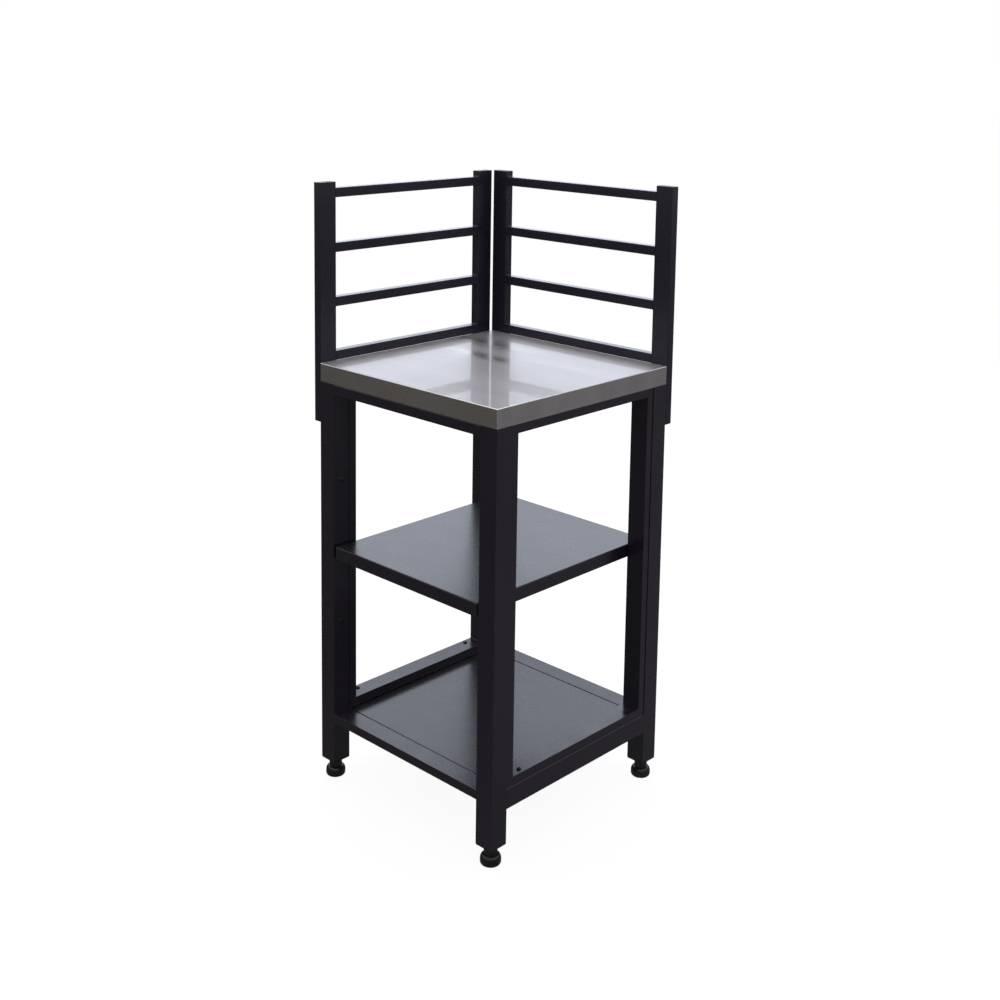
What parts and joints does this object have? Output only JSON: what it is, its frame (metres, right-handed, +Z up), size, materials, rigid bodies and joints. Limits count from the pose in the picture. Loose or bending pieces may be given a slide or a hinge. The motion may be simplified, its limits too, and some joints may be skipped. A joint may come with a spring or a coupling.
{
  "type": "outdoor kitchen module",
  "caption": "Square outdoor kitchen corner module with a brushed metal worktop, open shelves in a black tube frame, ladder racks on adjoining sides and screw-in levelling feet.",
  "frame": {"origin": "on the floor, under the middle of the box that holds the whole module", "axes": "+Z up, +X right and -Y front; the racks stand on the -X and +Y sides"},
  "size_m": [0.5084, 0.5084, 1.221],
  "materials": {
    "frame_coat": "semi-gloss black powder coat",
    "shelf_coat": "smooth semi-gloss black powder coat",
    "rack_coat": "semi-gloss black powder coat",
    "worktop_steel": "brushed, satin",
    "zinc_steel": "zinc plated, dull",
    "black_steel": "blackened, satin",
    "cap_plastic": "moulded, satin black",
    "foot_plastic": "moulded, glossy black"
  },
  "bodies": {
    "frame": {"worktop": "worktop_steel", "worktop_brace_front": "zinc_steel", "worktop_brace_back": "zinc_steel", "leg_front_left": "frame_coat", "leg_front_right": "frame_coat", "leg_back_left": "frame_coat", "leg_back_right": "frame_coat", "side_rail_left": "frame_coat", "side_rail_right": "frame_coat", "ring_left_bottom": "frame_coat", "ring_left_top": "frame_coat", "ring_left_front_post": "frame_coat", "ring_left_back_post": "frame_coat", "ring_right_bottom": "frame_coat", "ring_right_top": "frame_coat", "ring_right_front_post": "frame_coat", "ring_right_back_post": "frame_coat", "top_rail_front": "frame_coat", "top_rail_back": "frame_coat", "bottom_rail_front": "frame_coat", "bottom_rail_back": "frame_coat", "middle_shelf": "shelf_coat", "bottom_shelf": "shelf_coat", "left_rack_front_upright": "rack_coat", "left_rack_back_upright": "rack_coat", "left_rack_rail_1": "rack_coat", "left_rack_rail_2": "rack_coat", "left_rack_rail_3": "rack_coat", "left_rack_rail_4": "rack_coat", "back_rack_left_upright": "rack_coat", "back_rack_right_upright": "rack_coat", "back_rack_rail_1": "rack_coat", "back_rack_rail_2": "rack_coat", "back_rack_rail_3": "rack_coat", "back_rack_rail_4": "rack_coat", "left_rack_caps": "cap_plastic", "back_rack_caps": "cap_plastic", "leg_inserts": "cap_plastic", "foot_nuts": "zinc_steel", "left_rack_bolts": "black_steel", "back_rack_bolts": "black_steel", "shelf_bolts": "black_steel", "shelf_spacers": "black_steel", "hole_plugs": "cap_plastic", "ring_screws": "black_steel", "worktop_screws": "zinc_steel", "floor_screws": "zinc_steel"},
    "foot_front_left": {"foot_pad_front_left": "foot_plastic", "foot_stem_front_left": "zinc_steel"},
    "foot_front_right": {"foot_pad_front_right": "foot_plastic", "foot_stem_front_right": "zinc_steel"},
    "foot_back_left": {"foot_pad_back_left": "foot_plastic", "foot_stem_back_left": "zinc_steel"},
    "foot_back_right": {"foot_pad_back_right": "foot_plastic", "foot_stem_back_right": "zinc_steel"}
  },
  "joints": [
    {"name": "foot_front_left_slide", "type": "slide", "parent": "frame", "child": "foot_front_left", "axis": [0, 0, -1], "range_m": [0, 0.015]},
    {"name": "foot_front_right_slide", "type": "slide", "parent": "frame", "child": "foot_front_right", "axis": [0, 0, -1], "range_m": [0, 0.015]},
    {"name": "foot_back_left_slide", "type": "slide", "parent": "frame", "child": "foot_back_left", "axis": [0, 0, -1], "range_m": [0, 0.015]},
    {"name": "foot_back_right_slide", "type": "slide", "parent": "frame", "child": "foot_back_right", "axis": [0, 0, -1], "range_m": [0, 0.015]}
  ]
}
